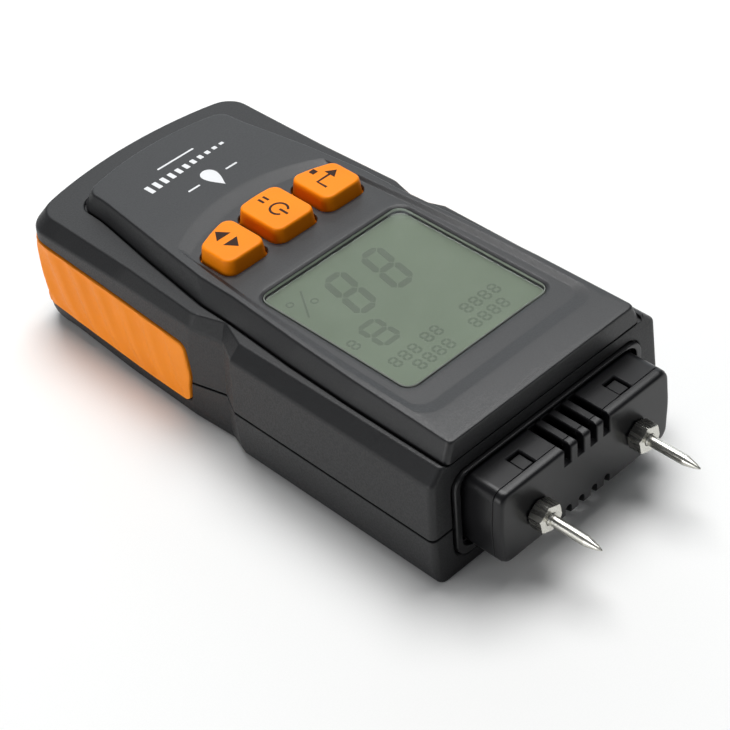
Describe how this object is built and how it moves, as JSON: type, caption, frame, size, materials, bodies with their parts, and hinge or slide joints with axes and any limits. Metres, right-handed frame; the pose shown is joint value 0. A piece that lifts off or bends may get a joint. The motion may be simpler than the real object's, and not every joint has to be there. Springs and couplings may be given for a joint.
{
  "type": "pin-type moisture meter",
  "caption": "Handheld pin-type moisture meter with a recessed display, press keys, side grips, a sliding battery door and a clip-together probe head with steel pins.",
  "frame": {"origin": "middle of the footprint, on the plane of the case's back", "axes": "+X to the user's right with the pins pointing away, +Y along the body towards the probe pins, +Z out of the display"},
  "size_m": [0.0692, 0.16, 0.0371],
  "materials": {
    "case_plastic": "fine-textured black ABS",
    "face_plastic": "fine-textured charcoal ABS",
    "lens_clear": "clear polished acrylic window",
    "lcd_glass": "grey-green reflective liquid crystal panel",
    "inner_plastic": "black moulded plastic",
    "elastomer": "layered conductive elastomer",
    "board_green": "green solder mask on glass epoxy",
    "key_orange": "satin orange ABS",
    "plunger_cream": "natural nylon",
    "grip_orange": "satin orange soft-touch rubber, fluted",
    "seal_rubber": "semi-gloss black rubber",
    "head_plastic": "satin black ABS",
    "nickel": "bright nickel plate",
    "brass": "turned brass",
    "lead_red": "red PVC-insulated wire",
    "lead_black": "black PVC-insulated wire",
    "cell_jacket": null,
    "contact_steel": "nickel-plated spring steel",
    "screw_steel": "zinc-plated steel"
  },
  "bodies": {
    "case": {"rear_case": "case_plastic", "front_case": "case_plastic", "faceplate": "face_plastic", "display_lens": "lens_clear", "lcd_panel": "lcd_glass", "lcd_frame": "inner_plastic", "controller_chip": "inner_plastic", "buzzer": "inner_plastic", "switch_set": "inner_plastic", "switch_power": "inner_plastic", "switch_enter": "inner_plastic", "zebra_strip_top": "elastomer", "zebra_strip_bottom": "elastomer", "circuit_board": "board_green", "grip_right": "grip_orange", "grip_left": "grip_orange", "head_seal": "seal_rubber", "probe_head": "head_plastic", "probe_cover": "head_plastic", "pin_nut_right": "nickel", "pin_nut_left": "nickel", "probe_pin_right": "nickel", "probe_pin_left": "nickel", "pin_socket_right": "brass", "pin_socket_left": "brass", "probe_lead_right": "lead_red", "probe_lead_left": "lead_black", "battery_1": "cell_jacket", "battery_2": "cell_jacket", "battery_3": "cell_jacket", "battery_4": "cell_jacket", "battery_spring_1": "contact_steel", "battery_spring_2": "contact_steel", "battery_spring_3": "contact_steel", "battery_spring_4": "contact_steel", "contact_plate_back": "contact_steel", "contact_plate_front": "contact_steel", "case_screw_1": "screw_steel", "case_screw_2": "screw_steel", "case_screw_3": "screw_steel", "case_screw_4": "screw_steel", "board_screw_1": "screw_steel", "board_screw_2": "screw_steel", "board_screw_3": "screw_steel", "board_screw_4": "screw_steel"},
    "key_set": {"key_set": "key_orange"},
    "key_power": {"key_power": "key_orange"},
    "key_enter": {"key_enter": "key_orange"},
    "plunger_set": {"plunger_set": "plunger_cream"},
    "plunger_power": {"plunger_power": "plunger_cream"},
    "plunger_enter": {"plunger_enter": "plunger_cream"},
    "battery_door": {"battery_door": "case_plastic"}
  },
  "joints": [
    {"name": "press_set", "type": "slide", "parent": "case", "child": "key_set", "axis": [0, 0, -1], "range_m": [0, 0.0005], "stiffness_N_per_m": 3000},
    {"name": "plunger_set_slide", "type": "slide", "parent": "case", "child": "plunger_set", "axis": [0, 0, -1], "range_m": [0, 0.0005]},
    {"name": "press_power", "type": "slide", "parent": "case", "child": "key_power", "axis": [0, 0, -1], "range_m": [0, 0.0005], "stiffness_N_per_m": 3000},
    {"name": "plunger_power_slide", "type": "slide", "parent": "case", "child": "plunger_power", "axis": [0, 0, -1], "range_m": [0, 0.0005]},
    {"name": "press_enter", "type": "slide", "parent": "case", "child": "key_enter", "axis": [0, 0, -1], "range_m": [0, 0.0005], "stiffness_N_per_m": 3000},
    {"name": "plunger_enter_slide", "type": "slide", "parent": "case", "child": "plunger_enter", "axis": [0, 0, -1], "range_m": [0, 0.0005]},
    {"name": "battery_door_slide", "type": "slide", "parent": "case", "child": "battery_door", "axis": [0, -1, 0], "range_m": [0, 0.05]}
  ],
  "couplings": [
    {"joint": "plunger_set_slide", "follows": "press_set", "ratio": 1},
    {"joint": "plunger_power_slide", "follows": "press_power", "ratio": 1},
    {"joint": "plunger_enter_slide", "follows": "press_enter", "ratio": 1}
  ]
}
